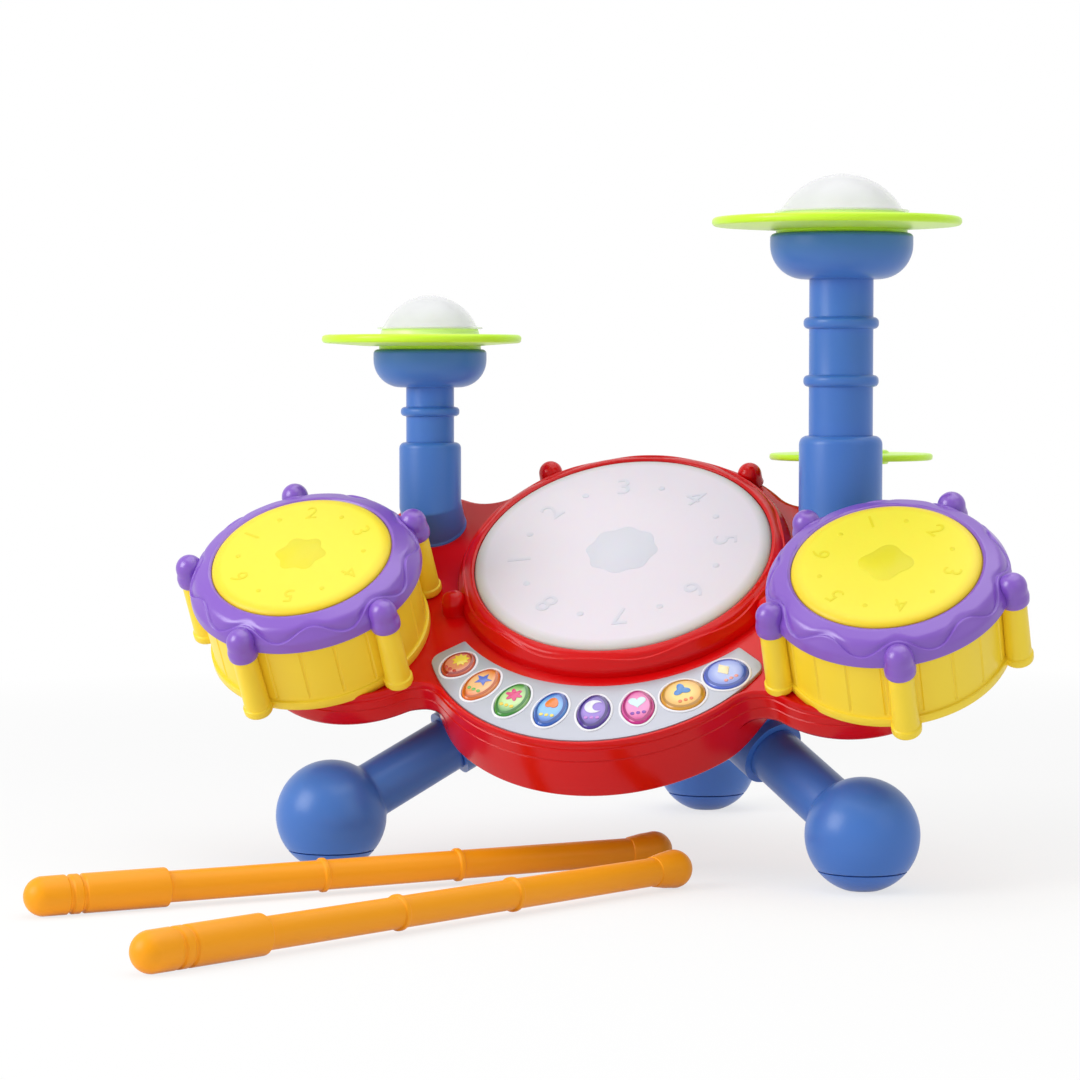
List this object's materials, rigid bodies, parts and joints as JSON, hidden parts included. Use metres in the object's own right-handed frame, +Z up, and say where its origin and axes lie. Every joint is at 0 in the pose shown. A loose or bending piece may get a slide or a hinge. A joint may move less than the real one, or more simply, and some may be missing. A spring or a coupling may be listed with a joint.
{
  "type": "electronic drum pad",
  "caption": "Tilted toy drum kit on ball feet: a main drum and side drums with sprung heads, tower cymbals with light domes, a curved row of sound buttons and loose sticks.",
  "frame": {"origin": "centre of the rear foot's flat sole, on the floor", "axes": "+Z up, -Y towards the player, +X to the right as the player sees it"},
  "size_m": [0.4203, 0.578, 0.3343],
  "materials": {
    "red_plastic": "high gloss moulded",
    "blue_plastic": "satin gloss moulded",
    "lime_plastic": "gloss moulded, slightly translucent",
    "purple_plastic": "gloss moulded",
    "amber_plastic": "gloss moulded",
    "yellow_head": "satin, slightly translucent",
    "pearl_head": "satin, slightly translucent",
    "clear_dome": "clear, frosted inside",
    "silver_panel": "silver lacquer",
    "orange_plastic": "satin gloss moulded",
    "rubber": "matte",
    "foot_rubber": "matte",
    "steel": "zinc plated",
    "circuit_board": "solder mask",
    "button_red": "clear domed print",
    "button_orange": "clear domed print",
    "button_green": "clear domed print",
    "button_blue": "clear domed print",
    "button_violet": "clear domed print",
    "button_magenta": "clear domed print",
    "button_gold": "clear domed print",
    "button_sky": "clear domed print"
  },
  "bodies": {
    "kit": {"body_top_shell": "red_plastic", "body_bottom_shell": "red_plastic", "main_drum_hoop": "red_plastic", "battery_door": "red_plastic", "left_leg_socket": "blue_plastic", "right_leg_socket": "blue_plastic", "rear_leg_socket": "blue_plastic", "main_switch_ring": "rubber", "main_light_board": "circuit_board", "control_panel": "silver_panel", "button_membrane": "rubber", "main_board": "circuit_board", "speaker": "steel", "battery_box": "rubber", "batteries": "steel", "battery_door_screw": "steel", "left_drum_shell": "amber_plastic", "left_drum_hoop": "purple_plastic", "left_drum_switch": "rubber", "right_drum_shell": "amber_plastic", "right_drum_hoop": "purple_plastic", "right_drum_switch": "rubber", "left_tower_socket": "blue_plastic", "left_tower_post": "blue_plastic", "left_cymbal_cup": "blue_plastic", "left_light_board": "circuit_board", "right_tower_socket": "blue_plastic", "right_tower_post": "blue_plastic", "right_cymbal_cup": "blue_plastic", "right_light_board": "circuit_board", "left_leg": "blue_plastic", "right_leg": "blue_plastic", "rear_leg": "blue_plastic", "foot_pads": "foot_rubber", "case_screws": "steel", "deck_screws": "steel", "leg_screws": "steel"},
    "main_head": {"main_drum_head": "pearl_head"},
    "left_head": {"left_drum_head": "yellow_head"},
    "right_head": {"right_drum_head": "yellow_head"},
    "left_cymbal": {"left_cymbal_plate": "lime_plastic", "left_cymbal_dome": "clear_dome"},
    "right_cymbal": {"right_cymbal_plate": "lime_plastic", "right_cymbal_dome": "clear_dome"},
    "back_cymbal": {"rear_cymbal": "lime_plastic"},
    "switch_slider": {"power_switch": "rubber"},
    "stick_low": {"lower_stick": "orange_plastic"},
    "stick_high": {"upper_stick": "orange_plastic"},
    "key_1": {"button_1": "button_red"},
    "key_2": {"button_2": "button_orange"},
    "key_3": {"button_3": "button_green"},
    "key_4": {"button_4": "button_blue"},
    "key_5": {"button_5": "button_violet"},
    "key_6": {"button_6": "button_magenta"},
    "key_7": {"button_7": "button_gold"},
    "key_8": {"button_8": "button_sky"}
  },
  "joints": [
    {"name": "main_head_press", "type": "slide", "parent": "kit", "child": "main_head", "axis": [0, 0.5878, -0.809], "range_m": [0, 0.002], "stiffness_N_per_m": 1500, "springref_m": -0.001},
    {"name": "left_head_press", "type": "slide", "parent": "kit", "child": "left_head", "axis": [0, 0.5878, -0.809], "range_m": [0, 0.002], "stiffness_N_per_m": 1500, "springref_m": -0.001},
    {"name": "right_head_press", "type": "slide", "parent": "kit", "child": "right_head", "axis": [0, 0.5878, -0.809], "range_m": [0, 0.002], "stiffness_N_per_m": 1500, "springref_m": -0.001},
    {"name": "left_cymbal_press", "type": "slide", "parent": "kit", "child": "left_cymbal", "axis": [0, 0, -1], "range_m": [0, 0.0012], "stiffness_N_per_m": 2500, "springref_m": -0.001},
    {"name": "right_cymbal_press", "type": "slide", "parent": "kit", "child": "right_cymbal", "axis": [0, 0, -1], "range_m": [0, 0.0012], "stiffness_N_per_m": 2500, "springref_m": -0.001},
    {"name": "back_cymbal_press", "type": "slide", "parent": "kit", "child": "back_cymbal", "axis": [0, 0, -1], "range_m": [0, 0.0012], "stiffness_N_per_m": 2500, "springref_m": -0.001},
    {"name": "key_1_press", "type": "slide", "parent": "kit", "child": "key_1", "axis": [0, 0.5878, -0.809], "range_m": [0, 0.0014], "stiffness_N_per_m": 300, "springref_m": -0.001},
    {"name": "key_2_press", "type": "slide", "parent": "kit", "child": "key_2", "axis": [0, 0.5878, -0.809], "range_m": [0, 0.0014], "stiffness_N_per_m": 300, "springref_m": -0.001},
    {"name": "key_3_press", "type": "slide", "parent": "kit", "child": "key_3", "axis": [0, 0.5878, -0.809], "range_m": [0, 0.0014], "stiffness_N_per_m": 300, "springref_m": -0.001},
    {"name": "key_4_press", "type": "slide", "parent": "kit", "child": "key_4", "axis": [0, 0.5878, -0.809], "range_m": [0, 0.0014], "stiffness_N_per_m": 300, "springref_m": -0.001},
    {"name": "key_5_press", "type": "slide", "parent": "kit", "child": "key_5", "axis": [0, 0.5878, -0.809], "range_m": [0, 0.0014], "stiffness_N_per_m": 300, "springref_m": -0.001},
    {"name": "key_6_press", "type": "slide", "parent": "kit", "child": "key_6", "axis": [0, 0.5878, -0.809], "range_m": [0, 0.0014], "stiffness_N_per_m": 300, "springref_m": -0.001},
    {"name": "key_7_press", "type": "slide", "parent": "kit", "child": "key_7", "axis": [0, 0.5878, -0.809], "range_m": [0, 0.0014], "stiffness_N_per_m": 300, "springref_m": -0.001},
    {"name": "key_8_press", "type": "slide", "parent": "kit", "child": "key_8", "axis": [0, 0.5878, -0.809], "range_m": [0, 0.0014], "stiffness_N_per_m": 300, "springref_m": -0.001},
    {"name": "power_slide", "type": "slide", "parent": "kit", "child": "switch_slider", "axis": [1, 0, 0], "range_m": [0, 0.004]},
    {"name": "lower_stick_lift", "type": "slide", "parent": "kit", "child": "stick_low", "axis": [0, -0.9707, 0.2402], "range_m": [0, 0.25]},
    {"name": "upper_stick_lift", "type": "slide", "parent": "kit", "child": "stick_high", "axis": [0, -0.9707, 0.2402], "range_m": [0, 0.25]}
  ]
}
